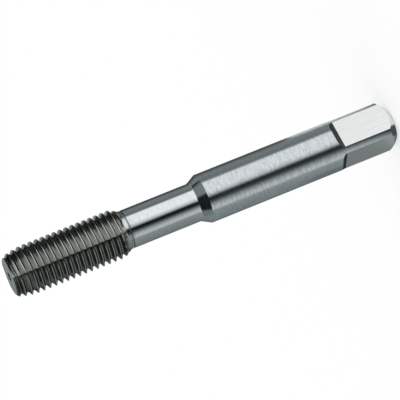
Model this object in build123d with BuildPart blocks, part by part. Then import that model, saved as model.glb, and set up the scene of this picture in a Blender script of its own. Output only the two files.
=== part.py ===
from build123d import *
from math import ceil, cos, radians, sin, sqrt, tan
import os

# Machine thread tap, M10 x 1.25, of the thread-forming kind: it has no flutes,
# and its threaded end has a section of five lobes. It is ground from one bar of
# high-speed steel. It stands on its driving square with the tip up, so the
# origin is the middle of the driven end and +Z runs along the axis to the tip.
# Lengths along the tap are measured from the tip, as in a tool catalogue.

# --- lengths ----------------------------------------------------------------
overall_length = 82.0
thread_length = 24.3  # to the back of the last thread
neck_end = 39.1  # to the small end of the cone
shoulder_end = 41.1  # to the full shank
square_length = 12.9  # flats of the driving square, with their run-out

# --- diameters ----------------------------------------------------------------
shank_diameter = 10.0
neck_diameter = 7.8

# --- lobed section of the threaded end ------------------------------------------
lobe_count = 5
lobe_face_offset = 4.8  # from the axis to the middle of a face between lobes
lobe_face_radius = 7.0  # curvature of that face
lobe_turn = 38.0  # degrees from a driving flat to the nearest lobe

# --- thread -------------------------------------------------------------------
pitch = 1.25
root_diameter = 8.5
flank_angle = 30.0  # of each flank, from a plane across the axis
thread_turn = 6.6  # degrees from a driving flat to the start of the groove

# --- lead at the tip and back of the thread ---------------------------------------
lead_length = 4.3
lead_drop = 0.75  # how far the lead comes down to the tip
tip_chamfer = 0.35
back_chamfer = 0.9

# --- ring groove, cone, driving square ----------------------------------------------
ring_distance = 25.0  # from the tip to the middle of the ring groove
ring_width = 0.3
ring_depth = 0.15
neck_fillet = 1.0
square_across_flats = 8.0
square_run_out = 1.3  # radius that the side of the milling cutter leaves
end_chamfer = 1.75

# --- centre holes ---------------------------------------------------------------
tip_centre_diameter = 1.8
tip_centre_depth = 1.8
end_centre_diameter = 2.4
end_centre_depth = 2.6
centre_pilot_diameter = 0.8
centre_angle = 60.0  # of the countersink that a centre runs in

# --- clearances of the cutting bodies ---------------------------------------------
groove_overshoot = 0.05  # of the groove's section above the lobes
cutter_clearance = 1.0  # by which the other cutters start outside the tap

shank_radius = shank_diameter / 2
neck_radius = neck_diameter / 2
root_radius = root_diameter / 2
lobe_step = 360 / lobe_count
tip_z = overall_length
thread_back_z = overall_length - thread_length

# A face between two lobes is an arc whose centre lies beyond the axis. Two
# neighbouring arcs meet at the lobe's corner, at this distance from the axis.
arc_centre = lobe_face_radius - lobe_face_offset
half_step = radians(lobe_step / 2)
lobe_radius = sqrt(lobe_face_radius**2 - (arc_centre * sin(half_step)) ** 2) - arc_centre * cos(half_step)

# the lead's cone, carried on past the lobes by the cutter's clearance
lead_start_z = tip_z - lead_length
lead_clear_length = cutter_clearance * (lead_length - tip_chamfer) / lead_drop

# --- one turn of the V-shaped groove between the threads -------------------------------
groove_top_radius = lobe_radius + groove_overshoot
groove_half_top = (groove_top_radius - root_radius) * tan(radians(flank_angle))
with BuildPart() as groove_turn:
    with BuildLine() as groove_path:
        Helix(pitch=pitch, height=pitch, radius=lobe_radius)
    with BuildSketch(Plane.XZ):
        with BuildLine():
            Polyline(
                (root_radius, 0),
                (groove_top_radius, -groove_half_top),
                (groove_top_radius, groove_half_top),
                close=True,
            )
        make_face()
    sweep(path=groove_path.wires()[0], is_frenet=True)

# --- threaded end: a lobed bar with a tapered lead, then the groove cut around it --------
turn_count = ceil(thread_length / pitch) + 2
with BuildPart() as threaded_end:
    with BuildSketch(Plane.XY.offset(thread_back_z)):
        with BuildLine():
            for lobe in range(lobe_count):
                start = lobe_turn + lobe * lobe_step
                ThreePointArc(
                    Vector(lobe_radius, 0).rotate(Axis.Z, start),
                    Vector(lobe_face_offset, 0).rotate(Axis.Z, start + lobe_step / 2),
                    Vector(lobe_radius, 0).rotate(Axis.Z, start + lobe_step),
                )
        make_face()
    extrude(amount=thread_length)
    # envelope turned around the lobes: back chamfer, lead and tip chamfer
    with BuildSketch(Plane.XZ):
        with BuildLine():
            Polyline(
                (0, thread_back_z),
                (lobe_radius - back_chamfer, thread_back_z),
                (lobe_radius + cutter_clearance, thread_back_z + back_chamfer + cutter_clearance),
                (lobe_radius + cutter_clearance, lead_start_z - lead_clear_length),
                (lobe_radius - lead_drop, tip_z - tip_chamfer),
                (lobe_radius - lead_drop - tip_chamfer, tip_z),
                (0, tip_z),
                close=True,
            )
        make_face()
    revolve(axis=Axis.Z, mode=Mode.INTERSECT)
    with Locations(*(Location((0, 0, thread_back_z + (turn - 1) * pitch)) for turn in range(turn_count))):
        add(groove_turn.part, rotation=(0, 0, thread_turn), mode=Mode.SUBTRACT)

# --- what the milling cutter takes for one flat of the driving square -------------------
with BuildPart() as flat_cut:
    with BuildSketch(Plane.XZ) as cut_side:
        with Locations((square_across_flats / 2, -cutter_clearance)):
            Rectangle(shank_radius, square_length + cutter_clearance, align=(Align.MIN, Align.MIN))
        run_out_corner = cut_side.vertices().group_by(Axis.X)[0].sort_by(Axis.Y)[-1]
        fillet(run_out_corner, square_run_out)
    extrude(amount=shank_radius + cutter_clearance, both=True)

# --- the whole tap ----------------------------------------------------------------------
with BuildPart() as tap:
    # neck, cone and shank, turned in one with the chamfer at the driven end
    with BuildSketch(Plane.XZ) as turned_profile:
        with BuildLine():
            Polyline(
                (0, 0),
                (shank_radius - end_chamfer, 0),
                (shank_radius, end_chamfer),
                (shank_radius, tip_z - shoulder_end),
                (neck_radius, tip_z - neck_end),
                (neck_radius, thread_back_z),
                (0, thread_back_z),
                close=True,
            )
        make_face()
        cone_foot = turned_profile.vertices().sort_by_distance((neck_radius, tip_z - neck_end))[0]
        fillet(cone_foot, neck_fillet)
    revolve(axis=Axis.Z)
    add(threaded_end.part)
    # ring groove close behind the thread
    with BuildSketch(Plane.XY.offset(tip_z - ring_distance - ring_width / 2)):
        Circle(neck_radius + cutter_clearance)
        Circle(neck_radius - ring_depth, mode=Mode.SUBTRACT)
    extrude(amount=ring_width, mode=Mode.SUBTRACT)
    # driving square
    with PolarLocations(0, 4):
        add(flat_cut.part, mode=Mode.SUBTRACT)
    # centre holes that the tap is ground between
    with Locations((0, 0, tip_z)):
        CounterSinkHole(
            radius=centre_pilot_diameter / 2,
            counter_sink_radius=tip_centre_diameter / 2,
            depth=tip_centre_depth,
            counter_sink_angle=centre_angle,
        )
    with Locations(Plane.XY.rotated((180, 0, 0))):
        CounterSinkHole(
            radius=centre_pilot_diameter / 2,
            counter_sink_radius=end_centre_diameter / 2,
            depth=end_centre_depth,
            counter_sink_angle=centre_angle,
        )

os.makedirs("parts", exist_ok=True)
tap.part.label = "thread tap"
export_step(tap.part, "parts/tap.step")
print("thread tap", round(tap.part.volume), "mm3", "valid" if tap.part.is_valid else "NOT valid")
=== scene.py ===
# %% [markdown]
# # Thread tap for forming threads, M10 x 1.25
# A machine tap is one bar of high-speed steel, ground nearly all over. This one
# has no flutes: it presses the thread into the hole, so its threaded end has five
# soft lobes in place of cutting edges. The bar could be put together from
# primitives and booleans, but a thread is a surface that follows one formula, so
# here the whole bar is worked out as one grid in numpy: an angle round the axis
# and a station along it give each point. Lengths are written in millimetres, from
# the driven end that the tap stands on, and are turned to metres at the end.

import math

import bpy
import bmesh
import numpy as np
from mathutils import Matrix, Vector


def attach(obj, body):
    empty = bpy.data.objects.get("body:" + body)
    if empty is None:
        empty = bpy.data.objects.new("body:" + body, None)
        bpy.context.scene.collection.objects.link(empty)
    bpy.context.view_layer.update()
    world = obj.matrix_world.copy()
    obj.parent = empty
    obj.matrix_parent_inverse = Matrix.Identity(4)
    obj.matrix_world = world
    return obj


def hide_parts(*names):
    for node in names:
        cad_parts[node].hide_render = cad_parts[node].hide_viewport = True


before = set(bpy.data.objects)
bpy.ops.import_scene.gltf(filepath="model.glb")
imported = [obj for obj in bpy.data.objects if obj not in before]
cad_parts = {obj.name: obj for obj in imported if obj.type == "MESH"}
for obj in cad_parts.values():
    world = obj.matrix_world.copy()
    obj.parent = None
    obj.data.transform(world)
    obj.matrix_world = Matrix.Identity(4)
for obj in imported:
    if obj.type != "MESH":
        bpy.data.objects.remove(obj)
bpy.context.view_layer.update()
MM = 0.001
TAU = 2 * np.pi

# %% [markdown]
# ## Sizes of the bar
# A catalogue gives such a tap by its shank, its neck, its driving square and its
# pitch. The sizes are the solid's, but for two that are set more closely here:
# the thread ends 0.45 mm and the ring groove lies 0.3 mm nearer to the tip.

# %% sizes in millimetres
overall_length = 82.0
thread_back = overall_length - 23.85  # back of the last thread
ring_middle = overall_length - 24.7  # ring groove turned behind the thread
neck_end = overall_length - 39.1  # small end of the cone
shoulder = overall_length - 41.1  # full shank starts here
shank_radius = 5.0
neck_radius = 3.9
pitch = 1.25
print("shank up to", round(shoulder, 2), "mm, neck from", round(neck_end, 2), "mm on")
print("thread from", round(thread_back, 2), "mm to", overall_length, "mm")

# %% [markdown]
# ## The lobed section
# Between two lobes the section is an arc flatter than the full circle, and the
# lobe itself is a small rounding between two such arcs. It could be drawn as a
# curve, but the thread needs it in every direction, so both arcs are written as
# the distance from the axis at an angle.

# %% lobed section as a radius by angle
lobe_count = 5
lobe_turn = 38.0  # degrees from a driving flat to the nearest lobe
face_offset = 4.8  # from the axis to the middle of a face between lobes
face_radius = 7.0  # curvature of that face
nose_radius = 0.9  # curvature of a lobe
half_lobe = math.pi / lobe_count
arc_centre = face_radius - face_offset  # this far beyond the axis
off_line = arc_centre * math.sin(half_lobe)
nose_centre = math.sqrt((face_radius - nose_radius) ** 2 - off_line**2) - arc_centre * math.cos(half_lobe)
nose_reach = math.asin(off_line / (face_radius - nose_radius))
nose_half = math.atan2(nose_radius * math.sin(nose_reach), nose_centre + nose_radius * math.cos(nose_reach))


def lobed_radius(angle):
    """Distance from the axis to the lobed outline: a flat arc whose centre is beyond
    the axis, and within nose_half of a lobe the small circle of the nose."""
    from_lobe = (angle - math.radians(lobe_turn) + half_lobe) % (2 * half_lobe) - half_lobe
    from_face = half_lobe - np.abs(from_lobe)
    face = np.sqrt(face_radius**2 - (arc_centre * np.sin(from_face)) ** 2) - arc_centre * np.cos(from_face)
    off_nose = nose_centre * np.sin(np.clip(from_lobe, -nose_half, nose_half))
    nose = nose_centre * np.cos(from_lobe) + np.sqrt(nose_radius**2 - off_nose**2)
    return np.where(np.abs(from_lobe) < nose_half, nose, face)


lobe_radius = float(lobed_radius(np.array(math.radians(lobe_turn))))
print("lobes reach", round(lobe_radius, 3), "mm, faces", face_offset, "mm from the axis")

# %% [markdown]
# ## The thread
# A forming thread keeps one depth all round, so its root follows the lobes too.
# At the tip a lead brings the crests down, and behind the last thread a slim
# cone fades the crests out. A groove could be swept along a helix and cut out,
# but one formula gives the lead and the fading crests as well, with a straight
# flank and a rounded root that catch the light.

# %% thread profile
thread_depth = 0.84
crest_half = 0.08  # half the flat on a crest, along the axis
root_start = 0.75  # share of the way from crest to root where the rounding starts
crest_height = 71.96  # where a crest crosses the angle crest_angle
crest_angle = math.radians(-26.5)
lead_length = 4.3
lead_drop = 0.75  # how far the lead has brought a crest down at the tip
lead_bend = 1.5  # power that the lead follows; 1 would be a straight cone
lead_share = 0.4  # how much shallower the groove is at the tip
tip_chamfer = 0.35
back_foot = 4.15  # radius of the step up from the neck
back_slope = 0.60  # of the slim cone that goes on from there


def threaded_radius(angle, z):
    """Radius at an angle and height: the lobed outline, less a depth that grows with
    how far z is from the helix's crest, in a straight flank and then a parabola
    that rounds the root. The lead is read at the crest's middle for all of a
    crest, so that a crest stays level along the axis, at the point's own height
    for the bottom of a root, and evenly between the two on a flank. The tip
    chamfer and the slim cone that fades out the last crests cut straight across."""
    crest = crest_height + pitch * (angle - crest_angle) / TAU
    off_crest = (z - crest + pitch / 2) % pitch - pitch / 2
    away = np.abs(off_crest)
    down = np.clip((away - crest_half) / (pitch / 2 - crest_half), 0, 1)
    flank = 2 / (1 + root_start)
    rounded = 1 - flank * (1 - down) ** 2 / (2 * (1 - root_start))
    share = np.where(down < root_start, flank * down, rounded)
    lead_height = z - np.sign(off_crest) * (away - down * pitch / 2)
    into_lead = np.clip((lead_height - (overall_length - lead_length)) / lead_length, 0, 1)
    outline = lobed_radius(angle)
    thread = outline - lead_drop * into_lead**lead_bend - thread_depth * share * (1 - lead_share * into_lead)
    chamfer = outline - lead_drop - tip_chamfer + (overall_length - z)
    back = back_foot + back_slope * (z - thread_back)
    return np.minimum(np.minimum(thread, chamfer), back)


print("thread", thread_depth, "mm deep,", round((overall_length - thread_back) / pitch, 1), "turns")

# %% [markdown]
# ## The plain bar and its driving square
# Behind the thread the bar is turned: neck, a short cone with a rounded foot,
# shank, chamfer. Four flats are milled on the end, and the side of the milling
# cutter leaves a curved run-out. Booleans could cut the flats, but in a grid of
# angles it takes one line: a flat is a plane, so at an angle it lies at its
# distance from the axis divided by the cosine of that angle.

# %% helpers for stations along the plain bar
square_half = 4.0  # from the axis to a flat
square_length = 12.9  # of the flats, with their run-out
run_out = 1.3  # radius that the side of the cutter leaves
flat_end = square_length - run_out
out_of_reach = 99.0  # for a flat above its run-out
end_chamfer = 1.75
end_centre = (1.2, 0.4, 2.6)  # centre hole: mouth radius, pilot radius, depth
tip_centre = (0.9, 0.4, 1.8)
cone_slope = math.tan(math.radians(30.0))  # of the 60 degree cone that a centre runs in
foot_radius = 1.0  # where the cone meets the neck
guard = 0.05  # from a rounding to the station that keeps a long straight part's shading level


def arc_stations(start, corner, end, radius, steps):
    """Points of the arc of that radius which rounds the corner of a path of three
    points, with one guard point just outside each end of it."""
    start, corner, end = np.array(start), np.array(corner), np.array(end)
    into = (corner - start) / np.linalg.norm(corner - start)
    out = (end - corner) / np.linalg.norm(end - corner)
    half_turn = math.acos(np.clip(into @ out, -1, 1)) / 2
    reach = radius * math.tan(half_turn)
    first, last = corner - into * reach, corner + out * reach
    centre = corner + (out - into) / np.linalg.norm(out - into) * radius / math.cos(half_turn)
    share = np.linspace(0, 1, steps)[:, None]
    spoke = (first - centre) * (1 - share) + (last - centre) * share
    arc = centre + spoke / np.linalg.norm(spoke, axis=1)[:, None] * radius
    return np.concatenate([[first - into * guard], arc, [last + out * guard]])


def edge_stations(points, radii, steps):
    """A turned profile's corners as (radius, height) points, each rounded by its own
    radius in that many steps, or left sharp where the radius is 0."""
    rows = [np.array(points[0])[None]]
    for before, corner, after, radius, step in zip(points, points[1:], points[2:], radii, steps):
        rows.append(arc_stations(before, corner, after, radius, step) if radius else np.array(corner)[None])
    rows.append(np.array(points[-1])[None])
    return np.concatenate(rows)


def with_opening(stations, opening):
    """Stations as (radius, height, opening) rows: the opening is half the angle
    that the columns of a flat span there."""
    return np.column_stack([stations, np.broadcast_to(opening, len(stations))])


def chamfer_height(radius):
    """Height of the 45 degree chamfer of the driven end where it has that radius."""
    return radius + end_chamfer - shank_radius


def flat_distance(z):
    """Distance of a flat's surface from the axis: constant, then rising along the
    quarter circle of the cutter's side, and beyond it out of reach."""
    along = np.clip(z - flat_end, 0, run_out)
    rise = run_out - np.sqrt(run_out**2 - along**2)
    return np.where(z > flat_end + run_out, out_of_reach, square_half + rise)


print("flats", 2 * square_half, "mm across, level up to", round(flat_end, 2), "mm")

# %% stations from the driven end to above the flats
even = math.radians(25.0)  # opening at which the columns are evenly spread
square_opening = math.acos(square_half / shank_radius)
edge_break = 0.05  # rounding of a sharp edge
end_break = 0.06  # and of the edge round the driven end's face
gather_radius = square_half - 0.6  # where on the chamfer the columns start to gather
row_step = 0.2  # between the rows above the flats, where the columns spread again
mouth, pilot, depth = end_centre
end_face = edge_stations(
    [
        (0, depth),
        (pilot, depth),
        (pilot, (mouth - pilot) / cone_slope),
        (mouth, 0),
        (shank_radius - end_chamfer, 0),
        (gather_radius, chamfer_height(gather_radius)),
    ],
    [0, edge_break, edge_break, end_break],
    [0, 3, 3, 4],
)
below_radius = np.linspace(gather_radius, square_half, 8)[1:]
below_opening = even * (square_half - below_radius) / (square_half - gather_radius)
chamfer_opening = np.linspace(0, square_opening, 13)[1:]
chamfer_radius = square_half / np.cos(chamfer_opening)
# angles round the side of the cutter, close together where it leaves the shank
cutter_turn = np.append(np.linspace(0, math.radians(72), 15), np.radians([75, 76.2]))
rise = np.append(run_out * (1 - np.cos(cutter_turn)), shank_radius - square_half)
run_out_height = flat_end + np.sqrt(run_out**2 - (run_out - rise) ** 2)
run_out_opening = np.arccos(np.minimum((square_half + rise) / shank_radius, 1))
above_opening = np.linspace(0, even, 11)[1:]
above_height = run_out_height[-1] + np.arange(1, 11) * row_step
lower_bar = np.concatenate([
    with_opening(end_face, even),
    np.column_stack([below_radius, chamfer_height(below_radius), below_opening]),
    np.column_stack([chamfer_radius, chamfer_height(chamfer_radius), chamfer_opening]),
    with_opening([(shank_radius, flat_end - guard)], square_opening),
    np.column_stack([np.full_like(rise, shank_radius), run_out_height, run_out_opening]),
    np.column_stack([np.full_like(above_height, shank_radius), above_height, above_opening]),
])
print(len(lower_bar), "stations up to", round(above_height[-1], 2), "mm")

# %% stations from the shank to the back of the thread
shank_middle = 20.0  # one station on the plain shank
ring_half = 0.15  # half the width of the ring groove
ring_floor = neck_radius - 0.15
upper_bar = edge_stations(
    [
        (shank_radius, shank_middle),
        (shank_radius, shoulder),
        (neck_radius, neck_end),
        (neck_radius, ring_middle - ring_half),
        (ring_floor, ring_middle - ring_half),
        (ring_floor, ring_middle + ring_half),
        (neck_radius, ring_middle + ring_half),
        (neck_radius, thread_back),
        (back_foot, thread_back),
    ],
    [edge_break, foot_radius, 0, 0, 0, 0, 0],
    [4, 9, 0, 0, 0, 0, 0],
)
stations = np.concatenate([lower_bar, with_opening(upper_bar, even)])
print(len(stations), "stations on the plain bar")

# %% [markdown]
# ## One grid for the whole bar
# Columns run round the axis and rows along it. At the square the columns are
# gathered so that the same one stays on the edge of a flat from the chamfer to
# the end of its run-out, which keeps that edge crisp. In the thread a row
# follows the helix, so that crest, flank and root fall on rows, and is cut off
# where the thread ends. Column 0 is repeated at the full turn, and merging the
# doubles closes the seam, the poles and the ends of the helical rows.

# %% rows of the plain bar
columns = 360
angle = np.linspace(0, TAU, columns + 1)


def gathered(opening):
    """The columns of each row, in radians: those within an even 25 degrees of a
    flat's middle are spread over the row's opening, and the others share what
    is left up to the corner of the square."""
    quarter = TAU / 4
    middle = np.round(angle / quarter) * quarter
    off = angle - middle
    outside = opening + (np.abs(off) - even) * (quarter / 2 - opening) / (quarter / 2 - even)
    return middle + np.where(np.abs(off) <= even, off * opening / even, np.sign(off) * outside)


def all_round(values):
    """One row for each value, with that value in every column."""
    return np.repeat(np.array(values, float)[:, None], columns + 1, 1)


plain_angle = gathered(stations[:, 2:])
from_flat = (plain_angle + TAU / 8) % (TAU / 4) - TAU / 8
plain_radius = np.minimum(stations[:, :1], flat_distance(stations[:, 1:2]) / np.cos(from_flat))
plain_height = all_round(stations[:, 1])
print(plain_radius.shape, "rows and columns on the plain bar")

# %% rows of the thread
row_shares = np.array([0, root_start, 0.86, 0.96])  # of the way from crest to root
below_crest = (crest_half + row_shares * (pitch / 2 - crest_half)) / pitch
phases = np.concatenate([below_crest, (1 - below_crest)[::-1]])
turns = np.arange(-2, math.ceil((overall_length - thread_back) / pitch) + 2)
row_phase = (turns[:, None] + phases[None]).ravel()
first_crest = crest_height - pitch * crest_angle / TAU
first_crest = first_crest - pitch * math.floor((first_crest - thread_back) / pitch)
helix_height = first_crest + pitch * (row_phase[:, None] + angle[None] / TAU)
helix_top = overall_length - tip_chamfer
helix_height = np.clip(helix_height, thread_back, helix_top)
keep = (np.ptp(helix_height, axis=1) > 0) | (np.arange(len(helix_height)) == 0)
helix_height = helix_height[keep]
helix_radius = threaded_radius(angle[None], helix_height)
print(len(helix_height), "rows in the thread")

# %% rows of the tip
mouth, pilot, depth = tip_centre
mouth_break = 0.03  # bevel round the mouth of the centre hole
face_share = 0.25  # how far in from the edge of the face its middle row lies
tip_heights = np.linspace(helix_top, overall_length, 4)
tip_outer = threaded_radius(angle[None], all_round(tip_heights))
tip_middle = tip_outer[-1:] * (1 - face_share) + mouth * face_share
hole_radius = [mouth + mouth_break, mouth, pilot, pilot, 0]
hole_depth = np.array([0, mouth_break, (mouth - pilot) / cone_slope, depth, depth])
tip_radius = np.concatenate([tip_outer, tip_middle, all_round(hole_radius)])
tip_height = all_round(np.concatenate([tip_heights, [overall_length], overall_length - hole_depth]))
print(len(tip_height), "rows at the tip")

# %% the bar's mesh
radius = np.concatenate([plain_radius, helix_radius, tip_radius])
height = np.concatenate([plain_height, helix_height, tip_height])
rows = len(radius)
around = np.concatenate([plain_angle, np.repeat(angle[None], rows - len(plain_angle), 0)])
points = np.stack([radius * np.cos(around), radius * np.sin(around), height], -1).reshape(-1, 3) * MM
corner = (np.arange(rows - 1)[:, None] * (columns + 1) + np.arange(columns)[None]).ravel()
quads = np.stack([corner, corner + 1, corner + columns + 2, corner + columns + 1], -1)
bar_mesh = bpy.data.meshes.new("tap_bar")
bar_mesh.from_pydata(points.tolist(), [], quads.tolist())
tap_bar = bpy.data.objects.new("tap_bar", bar_mesh)
bpy.context.scene.collection.objects.link(tap_bar)
print(rows, "rows of", columns, "quads before merging")

# %% doubles merged, normals outwards, sharp edges marked
same_point = 2e-7  # metres between two points that are one
no_length = 1e-8  # metres under which an edge is dropped
sharp_over = math.radians(31)
work = bmesh.new()
work.from_mesh(bar_mesh)
bmesh.ops.remove_doubles(work, verts=work.verts, dist=same_point)
bmesh.ops.dissolve_degenerate(work, edges=work.edges, dist=no_length)
bmesh.ops.recalc_face_normals(work, faces=work.faces)
open_edges = sum(not e.is_manifold for e in work.edges)
volume = work.calc_volume()
work.to_mesh(bar_mesh)
work.free()
bar_mesh.polygons.foreach_set("use_smooth", np.ones(len(bar_mesh.polygons), bool))
bar_mesh.set_sharp_from_angle(angle=sharp_over)
bar_mesh.calc_loop_triangles()
print("bar:", len(bar_mesh.loop_triangles), "triangles,", open_edges, "open edges")
print("volume", round(volume / MM**3), "mm3")

# %% [markdown]
# ## Steel
# The whole tap is high-speed steel, and what changes is how each zone was made.
# Shank and neck are ground round and round, which leaves fine rings; the flats
# are milled and ground along; the thread is ground, and a little darker from its
# surface treatment; the two end faces and the ring groove are turned and duller;
# the centre holes are darker steel. The run-outs of the flats take the same dark
# steel as painted shade, for the dark that they mirror. Image textures could paint
# that, but steel is metal all through: its colour is in the reflection, and a
# stretched noise in tint, roughness and level gives the fine marks at any distance.

# %% colours and a node helper


def linear(code):
    """An sRGB hex colour as linear red, green, blue and alpha."""
    values = np.array([int(code[i:i + 2], 16) / 255 for i in (1, 3, 5)])
    values = np.where(values > 0.04045, ((values + 0.055) / 1.055) ** 2.4, values / 12.92)
    return (*values.tolist(), 1.0)


def node(tree, kind, settings=None, links=None, **values):
    """Adds a node: settings are its own properties, values its sockets' numbers by
    name, and links its sockets that another node's output feeds."""
    made = tree.nodes.new(kind)
    for name, value in (settings or {}).items():
        setattr(made, name, value)
    for name, value in values.items():
        made.inputs[name.replace("_", " ")].default_value = value
    for name, source in (links or {}).items():
        tree.links.new(source, made.inputs[name])
    return made


def new_material(name):
    """An empty node material with its output node."""
    material = bpy.data.materials.new(name)
    material.use_nodes = True
    material.node_tree.nodes.clear()
    return material, material.node_tree, node(material.node_tree, "ShaderNodeOutputMaterial")


print("a mid grey is", [round(value, 3) for value in linear("#808080")], "in linear light")

# %% steel with the marks of its making
# Each is in repeats per metre along x, y and z. Grit 120 to 180 leaves marks 0.1 mm
# apart and less; they are drawn 0.3 to 0.4 mm apart, so that they show.
shank_rings = (900.0, 900.0, 3500.0)
thread_rings = (300.0, 300.0, 2500.0)
lines_along = (3000.0, 3000.0, 120.0)
specks = (2500.0, 2500.0, 2500.0)
noise = {"Scale": 1.0, "Detail": 3.0, "Roughness": 0.6}
noise_span = {"From_Min": 0.3, "From_Max": 0.7}  # where most of the noise lies


def steel(name, tint, dark_tint, roughness, mark_scale, mark_height):
    """Worked steel: a metal whose tint, roughness and level waver with the fine marks
    of the tool. mark_scale is one of the patterns above, and mark_height is how
    far the marks stand out, in metres."""
    material, tree, output = new_material(name)
    place = node(tree, "ShaderNodeTexCoord").outputs["Object"]
    stretched = node(tree, "ShaderNodeMapping", None, {"Vector": place}, Scale=mark_scale).outputs["Vector"]
    mark = node(tree, "ShaderNodeTexNoise", None, {"Vector": stretched}, **noise).outputs["Fac"]
    blend = node(tree, "ShaderNodeMapRange", None, {"Value": mark}, **noise_span)
    colour = node(tree, "ShaderNodeMix", {"data_type": "RGBA"}, {"Factor": blend.outputs["Result"]})
    colour.inputs[6].default_value = linear(tint)
    colour.inputs[7].default_value = linear(dark_tint)
    rough_span = {"To_Min": roughness - 0.05, "To_Max": roughness + 0.07}
    rough = node(tree, "ShaderNodeMapRange", None, {"Value": mark}, **noise_span, **rough_span)
    bump = node(tree, "ShaderNodeBump", None, {"Height": mark}, Strength=1.0, Distance=mark_height)
    surface = {
        "Base Color": colour.outputs[2],
        "Roughness": rough.outputs["Result"],
        "Normal": bump.outputs["Normal"],
    }
    shader = node(tree, "ShaderNodeBsdfPrincipled", None, surface, Metallic=1.0)
    tree.links.new(shader.outputs[0], output.inputs["Surface"])
    return material


print("rings on the shank", round(1000 / shank_rings[2], 2), "mm apart")

# %% the six finishes
finishes = [
    # bright, with the strips of the room softened by the rings
    steel("ground_high_speed_steel", "#E0E4E7", "#C0C4C7", 0.14, shank_rings, 0.000006),
    # a little darker but glossy, so that crests and flanks show as fine lines of light
    steel("thread_ground_high_speed_steel", "#B9BAB6", "#B1B2AE", 0.15, thread_rings, 0.000002),
    # pale and satin, so that each flat is one even patch
    steel("milled_high_speed_steel_flats", "#EFEFEE", "#E6E7E6", 0.26, lines_along, 0.0000015),
    # a duller, cooler grey, with no clear reflection in it
    steel("faced_high_speed_steel", "#AFB9BE", "#9EA8AD", 0.34, specks, 0.000003),
    # bright and the smoothest, so that the strips in the neck are crisp
    steel("fine_ground_high_speed_steel_neck", "#ECEFF1", "#DADDDF", 0.08, shank_rings, 0.000002),
    # dark and dull: darker steel in the centre holes and, in the run-outs of the flats, painted shade for
    # the dark that they mirror; it sets off the bright edges beside it
    steel("dark_steel_holes_and_painted_shade_run_outs", "#484C4E", "#3C4042", 0.40, specks, 0.000003),
]
GROUND, THREAD, FLAT, FACED, FINE, DARK = range(len(finishes))
for material in finishes:
    bar_mesh.materials.append(material)
print(len(finishes), "finishes:", [material.name for material in finishes])

# %% which finish each face takes
slack = 0.001  # mm by which the centre of a face may lie off its plane
margin = 0.01  # mm to the next zone
fine_start = neck_end - 0.2  # just inside the rounded foot of the cone
count = len(bar_mesh.polygons)
centre = np.empty(count * 3)
normal = np.empty(count * 3)
bar_mesh.polygons.foreach_get("center", centre)
bar_mesh.polygons.foreach_get("normal", normal)
centre, normal = centre.reshape(-1, 3) / MM, normal.reshape(-1, 3)
level = centre[:, 2]
from_axis = np.hypot(centre[:, 0], centre[:, 1])
faces_x_or_y = np.abs(normal[:, :2]).max(1) > 0.9999
on_end = (level > overall_length - slack) | (level < slack)
in_ring = np.abs(level - ring_middle) < ring_half + slack
in_tip_hole = (from_axis < tip_centre[0]) & (level > overall_length - tip_centre[2] - margin)
in_end_hole = (from_axis < end_centre[0]) & (level < end_centre[2] + margin)
in_run_out = (from_axis < shank_radius - margin) & (level > flat_end) & (level < flat_end + run_out)
finish = np.full(count, GROUND, np.int32)
finish[level > fine_start] = FINE
finish[level > thread_back - slack] = THREAD
finish[faces_x_or_y & (level < flat_end)] = FLAT
finish[on_end | in_ring] = FACED
# the centre holes take the dark steel, and the run-outs of the flats take it as painted shade
finish[in_tip_hole | in_end_hole | in_run_out] = DARK
bar_mesh.polygons.foreach_set("material_index", finish)
bar_mesh.update()
print("faces by finish:", np.bincount(finish).tolist())

# %% [markdown]
# ## The piece in its frame
# The tap is one piece and nothing on it moves, so the bar rides on the root body
# and takes the place of the solid called tap.

# %% the piece belongs to the frame
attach(tap_bar, "root")
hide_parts("tap")
print(tap_bar.name, "is", [round(size / MM, 2) for size in tap_bar.dimensions], "mm")

# %% [markdown]
# ## Floor and world
# A tap is best shown on a plain white table in even light. Strong lamps could
# make the floor white, but they would burn out the steel. So the floor is white
# paper that glows in part where it is looked at: the rest is lit by the white
# world, so that the tap's shadow stays, and is light.

# %% floor and world
floor_glow = 0.6  # share of the glow where the floor is looked at
floor_drop = 0.00002  # metres under the tap, so that the two don't share a plane
floor_material, tree, output = new_material("studio_floor")
path = node(tree, "ShaderNodeLightPath").outputs
paper = node(tree, "ShaderNodeBsdfDiffuse", Color=linear("#FFFFFF"))
glow = node(tree, "ShaderNodeEmission", Color=(1, 1, 1, 1), Strength=1.0)
either = {"operation": "MAXIMUM"}
seen = node(tree, "ShaderNodeMath", either, {0: path["Is Camera Ray"], 1: path["Is Glossy Ray"]})
seen = node(tree, "ShaderNodeMath", either, {0: seen.outputs[0], 1: path["Is Transmission Ray"]})
part = node(tree, "ShaderNodeMath", {"operation": "MULTIPLY"}, {0: seen.outputs[0]})
part.inputs[1].default_value = floor_glow
mixed = {0: part.outputs[0], 1: paper.outputs[0], 2: glow.outputs[0]}
floor_mix = node(tree, "ShaderNodeMixShader", None, mixed)
tree.links.new(floor_mix.outputs[0], output.inputs["Surface"])
bpy.ops.mesh.primitive_plane_add(size=6.0, location=(0, 0, -floor_drop))
floor = bpy.context.object
floor.name = "studio_floor"
floor.data.materials.append(floor_material)

world = bpy.data.worlds.new("studio")
bpy.context.scene.world = world
world.use_nodes = True
sky = world.node_tree
sky.nodes.clear()
sky_light = node(sky, "ShaderNodeBackground", Color=(1, 1, 1, 1), Strength=1.0)
node(sky, "ShaderNodeOutputWorld", None, {"Surface": sky_light.outputs[0]})
print("floor", floor.dimensions.x, "m wide")

# %% [markdown]
# ## Light tent
# A bright round bar shows its room more than itself, so it is best stood in a
# tent of paper with pale and black parts, where each upright band of paper
# becomes a strip of light along the bar. Lamps could do that too, but bands on
# paper are easier to place. Only reflections see the paper, so it neither hides
# the tap nor shades the floor. A sloping shade round the neck parts it into a
# lower tent for the plain bar and an upper one for the thread, with a roof.

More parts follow.
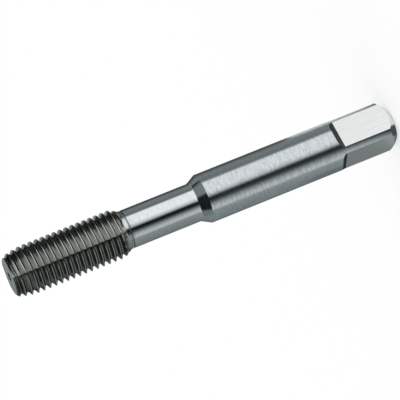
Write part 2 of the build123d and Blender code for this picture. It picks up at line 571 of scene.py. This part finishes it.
# %% paper for the tents
camera_azimuth = -26.5
cool, white, warm = (0.88, 1.0, 0.99), (0.985, 1.0, 1.01), (1.0, 0.97, 0.87)
sides = 96  # of a sheet bent round the tap


def banded_paper(name, bands, low=-180.0, high=180.0, across=False):
    """Glowing paper whose brightness changes in bands: by the angle round the tap,
    counted from the camera and positive to its left, or by the distance across, in
    millimetres to the left. Each band is (place, brightness, tint)."""
    material, tree, output = new_material(name)
    place = node(tree, "ShaderNodeTexCoord").outputs["Object"]
    turn = (0, 0, math.radians(-camera_azimuth))
    turned = node(tree, "ShaderNodeMapping", {"vector_type": "POINT"}, {"Vector": place}, Rotation=turn)
    axes = node(tree, "ShaderNodeSeparateXYZ", None, {"Vector": turned.outputs["Vector"]}).outputs
    if across:
        measure, unit = axes["Y"], MM
    else:
        bearing = node(tree, "ShaderNodeMath", {"operation": "ARCTAN2"}, {0: axes["Y"], 1: axes["X"]})
        measure, unit = bearing.outputs[0], math.radians(1)
    span = {"From_Min": low * unit, "From_Max": high * unit}
    share = node(tree, "ShaderNodeMapRange", None, {"Value": measure}, **span)
    ramp = node(tree, "ShaderNodeValToRGB", None, {"Fac": share.outputs["Result"]})
    stops = ramp.color_ramp
    stops.elements.remove(stops.elements[-1])
    for index, (position, value, tint) in enumerate(bands):
        position = (position - low) / (high - low)
        stop = stops.elements.new(position) if index else stops.elements[0]
        stop.position = position
        stop.color = (value * tint[0], value * tint[1], value * tint[2], 1)
    glow = node(tree, "ShaderNodeEmission", None, {"Color": ramp.outputs["Color"]}, Strength=1.0)
    tree.links.new(glow.outputs[0], output.inputs["Surface"])
    return material


def paper_round(name, outline, papers):
    """A sheet of paper bent round the tap: a (radius, height) outline in
    millimetres, turned round the axis, with one paper for each stretch of the
    outline. The last paper serves the stretches that are left. Only reflections
    see it."""
    turn = np.linspace(0, TAU, sides + 1)
    outline = np.array(outline, float) * MM
    stretches = np.arange(len(outline) - 1)
    reach, rise = outline[:, :1], np.repeat(outline[:, 1:], sides + 1, 1)
    sheet = np.stack([reach * np.cos(turn), reach * np.sin(turn), rise], -1)
    corner = (stretches[:, None] * (sides + 1) + np.arange(sides)[None]).ravel()
    quads = np.stack([corner, corner + 1, corner + sides + 2, corner + sides + 1], -1)
    mesh = bpy.data.meshes.new(name)
    mesh.from_pydata(sheet.reshape(-1, 3).tolist(), [], quads.tolist())
    for paper in papers:
        mesh.materials.append(paper)
    which_paper = np.minimum(stretches, len(papers) - 1).astype(np.int32)
    mesh.polygons.foreach_set("material_index", np.repeat(which_paper, sides))
    paper_sheet = bpy.data.objects.new(name, mesh)
    bpy.context.scene.collection.objects.link(paper_sheet)
    for ray in ("camera", "diffuse", "transmission", "volume_scatter", "shadow"):
        setattr(paper_sheet, "visible_" + ray, False)
    print(name, "has", len(stretches), "stretches and", [paper.name for paper in papers])


# %% sizes that the tents share, in millimetres
tent = 80.0  # radius of the paper wall
shade_mouth = 7.0  # radius of the opening that the tap stands in
shade_top = 56.65
shade_slope = 0.19
shade_rim = shade_top - shade_slope * (tent - shade_mouth)
print("shade from", shade_top, "mm high at the tap down to", round(shade_rim, 2), "mm at the wall")

# %% [markdown]
# ## Lower tent
# Shank, neck and flats stand upright and mirror the wall, and the camera looks
# down a little, so each mirrors it some 16 mm lower than it stands itself, and
# the square and the foot of the shank mirror paper on the floor. From right to
# left the bands are grey with a pale strip, black, broad white, and grey. The
# chamfer mirrors the floor close round the foot. The bands could be one image,
# but a list of places can be set one by one.

# %% bands of the lower tent
bar_bands = [
    (-180, 0.10, cool), (-150, 0.20, cool), (-130, 0.27, cool), (-90, 0.33, cool), (-70, 0.38, cool),
    (-62, 0.66, white), (-50, 0.62, white), (-38, 0.40, cool), (-24, 0.08, cool), (-14, 0.02, cool),
    (-5, 0.03, cool), (3, 0.50, white), (10, 0.80, white), (22, 0.98, white), (66, 0.98, white),
    (75, 0.24, cool), (84, 0.21, cool), (100, 0.27, cool), (116, 0.26, cool), (130, 0.14, cool),
    (150, 0.08, cool), (180, 0.10, cool),
]
# the neck's steel is brighter, so its paper is a little darker outside the white
neck_bands = [
    (place, value if value > 0.9 else 0.87 * value - 0.012, tint)
    for place, value, tint in bar_bands
]
floor_bands = [
    (-180, 0.10, cool), (-150, 0.18, cool), (-136, 0.20, cool), (-118, 0.21, cool), (-95, 0.33, cool),
    *bar_bands[4:-3],
    (128, 0.50, white), (136, 0.70, white), (160, 0.70, white), (180, 0.30, cool),
]
foot_bands = [
    (-180, 0.20, cool), (-50, 0.20, cool), (-42, 0.10, cool), (-10, 0.10, cool), (-4, 1.0, white),
    (120, 0.80, white), (140, 0.30, cool), (180, 0.10, cool),
]
print("bands on wall, floor and foot paper:", len(bar_bands), len(floor_bands), len(foot_bands))

# %% lower tent, for the shank, the neck and the square
neck_wall = 26.0  # from here up the wall is what the neck mirrors
floor_gap = 0.3  # of the paper above the floor
foot_ring = [(3, 0.2), (5.8, floor_gap)]  # paper close round the foot, for the chamfer
bar_paper = banded_paper("bar_paper", bar_bands)
neck_paper = banded_paper("neck_paper", neck_bands)
foot_paper = banded_paper("foot_paper", foot_bands)
floor_paper = banded_paper("floor_paper", floor_bands)
lower_outline = [*foot_ring, (tent, floor_gap), (tent, neck_wall), (tent, shade_rim)]
paper_round("lower_tent", lower_outline, [foot_paper, floor_paper, bar_paper, neck_paper])

# %% [markdown]
# ## Sloping shade
# The cone between neck and shank looks up at a slant. It could mirror the roof,
# but so does the chamfer round the tip, and a change for one would show on the
# other. The shade hides the roof from the cone and gives it its own paper, and
# it keeps the papers of the two tents apart.

# %% a sloping shade under the thread, which the cone mirrors close in
cone_reach = 27.0  # as far out as the cone sees
cone_bands = [
    (-180, 0.15, cool), (-80, 0.25, cool), (-66, 0.20, cool), (-58, 0.01, white), (14, 0.01, white),
    (24, 0.26, cool), (74, 0.26, cool), (88, 0.03, white), (150, 0.03, white), (180, 0.15, cool),
]
cone_paper = banded_paper("cone_paper", cone_bands)
shade_reaches = (shade_mouth, cone_reach, tent)
shade_outline = [(reach, shade_top - shade_slope * (reach - shade_mouth)) for reach in shade_reaches]
paper_round("sloping_shade", shade_outline, [cone_paper, bar_paper])

# %% [markdown]
# ## Upper tent and roof
# In most of a groove the view goes from one flank to the other and then down, so
# the sloping floor of the upper tent is the paper for the grooves. The wall is
# for the collar behind the thread, for the crests and, high up, for the face of
# the tip. The chamfer round the tip looks up at the roof, whose bands run
# across. One paper could serve them all, but then a change for the crests would
# also change the grooves.

# %% bands of the upper tent
groove_bands = [
    (-180, 0.70, white), (-158, 0.60, white), (-146, 0.05, cool), (-100, 0.03, cool), (-40, 0.03, cool),
    (-28, 0.02, cool), (0, 0.02, cool), (6, 1.0, white), (22, 0.90, white), (44, 0.80, white),
    (58, 0.38, cool), (68, 0.08, cool), (80, 0.01, cool), (130, 0.01, cool), (146, 0.50, white),
    (180, 0.70, white),
]
crest_bands = [
    (-180, 0.60, white), (-160, 0.50, white), (-148, 0.18, cool), (-120, 0.27, cool), (-101, 0.37, cool),
    (-75, 0.36, cool), (-61, 0.38, cool), (-54, 0.50, white), (-47, 0.28, cool), (-41, 0.06, cool),
    (-30, 0.02, cool), (-4, 0.02, cool), (4, 0.30, white), (12, 0.55, white), (22, 0.85, white),
    (30, 1.0, white), (56, 1.0, white), (62, 0.75, white), (68, 0.20, cool), (76, 0.11, cool),
    (90, 0.07, cool), (110, 0.07, cool), (144, 0.04, cool), (158, 0.50, white), (180, 0.60, white),
]
tip_bands = [
    (-180, 0.34, cool), (-162, 0.34, cool), (-152, 0.01, cool), (-60, 0.01, cool), (-45, 0.20, cool),
    (45, 0.20, cool), (60, 0.01, cool), (152, 0.01, cool), (162, 0.34, cool), (180, 0.34, cool),
]
print("bands for grooves, crests and tip:", len(groove_bands), len(crest_bands), len(tip_bands))

# %% upper tent, for the thread
shade_gap = 0.2  # from the shade to the floor of the upper tent
collar_rim = 44.3  # up to here the wall is what the collar behind the thread mirrors
tip_wall = 75.0  # from here up it is what the face of the tip mirrors
tent_top = 105.0
groove_paper = banded_paper("groove_paper", groove_bands)
crest_paper = banded_paper("crest_paper", crest_bands)
tip_paper = banded_paper("tip_paper", tip_bands)
upper_outline = [
    (shade_mouth, shade_top + shade_gap),
    (tent, shade_rim + shade_gap),
    (tent, collar_rim),
    (tent, tip_wall),
    (tent, tent_top),
]
paper_round("upper_tent", upper_outline, [groove_paper, neck_paper, crest_paper, tip_paper])

# %% roof over the tip
crown_hole = 0.001  # radius of the opening left at the top, so that no face there shrinks to a line
roof_bands = [
    (-80, 0.08, cool), (-24, 0.07, cool), (-10, 0.01, cool), (-1, 0.80, warm), (17, 0.70, warm),
    (30, 0.50, warm), (40, 0.06, cool), (48, 0.005, cool), (80, 0.005, cool),
]
roof_paper = banded_paper("roof_paper", roof_bands, -tent, tent, across=True)
dome = np.linspace(0, np.pi / 2, 13)
dome_outline = np.column_stack([tent * np.cos(dome) + crown_hole, tent_top + tent * np.sin(dome)])
paper_round("roof", dome_outline, [roof_paper])

# %% [markdown]
# ## Camera
# A long lens a good half metre away, a little above the tap, keeps the sides of
# the bar nearly parallel. The camera is rolled so that the standing tap lies
# across the picture. The tap could be laid down instead, but the part stands on
# its driven end in every other use.

# %% camera
camera_elevation = math.radians(12.4)
camera_distance = 0.560
camera_roll = math.radians(111.9)
side_shift = 0.000012  # metres by which the camera aims to the side of the axis
aim_height = 0.04157
turn = math.radians(camera_azimuth)
aim = Vector((-math.sin(turn) * side_shift, math.cos(turn) * side_shift, aim_height))
level_share = math.cos(camera_elevation)
back_way = Vector((level_share * math.cos(turn), level_share * math.sin(turn), math.sin(camera_elevation)))
level_way = (-back_way).cross(Vector((0, 0, 1))).normalized()
upright = level_way.cross(-back_way)
right_way = math.cos(camera_roll) * level_way - math.sin(camera_roll) * upright
up_way = math.sin(camera_roll) * level_way + math.cos(camera_roll) * upright
turned_to = Matrix((right_way, up_way, back_way)).transposed().to_4x4()
lens = bpy.data.cameras.new("camera")
lens.sensor_width = 36
lens.lens = 258.3
lens.clip_start = 0.01
camera = bpy.data.objects.new("camera", lens)
camera.matrix_world = Matrix.Translation(aim + back_way * camera_distance) @ turned_to
bpy.context.scene.collection.objects.link(camera)
bpy.context.scene.camera = camera
bpy.context.scene.view_settings.view_transform = "Standard"
print("camera at", [round(value, 3) for value in camera.matrix_world.translation], "m")
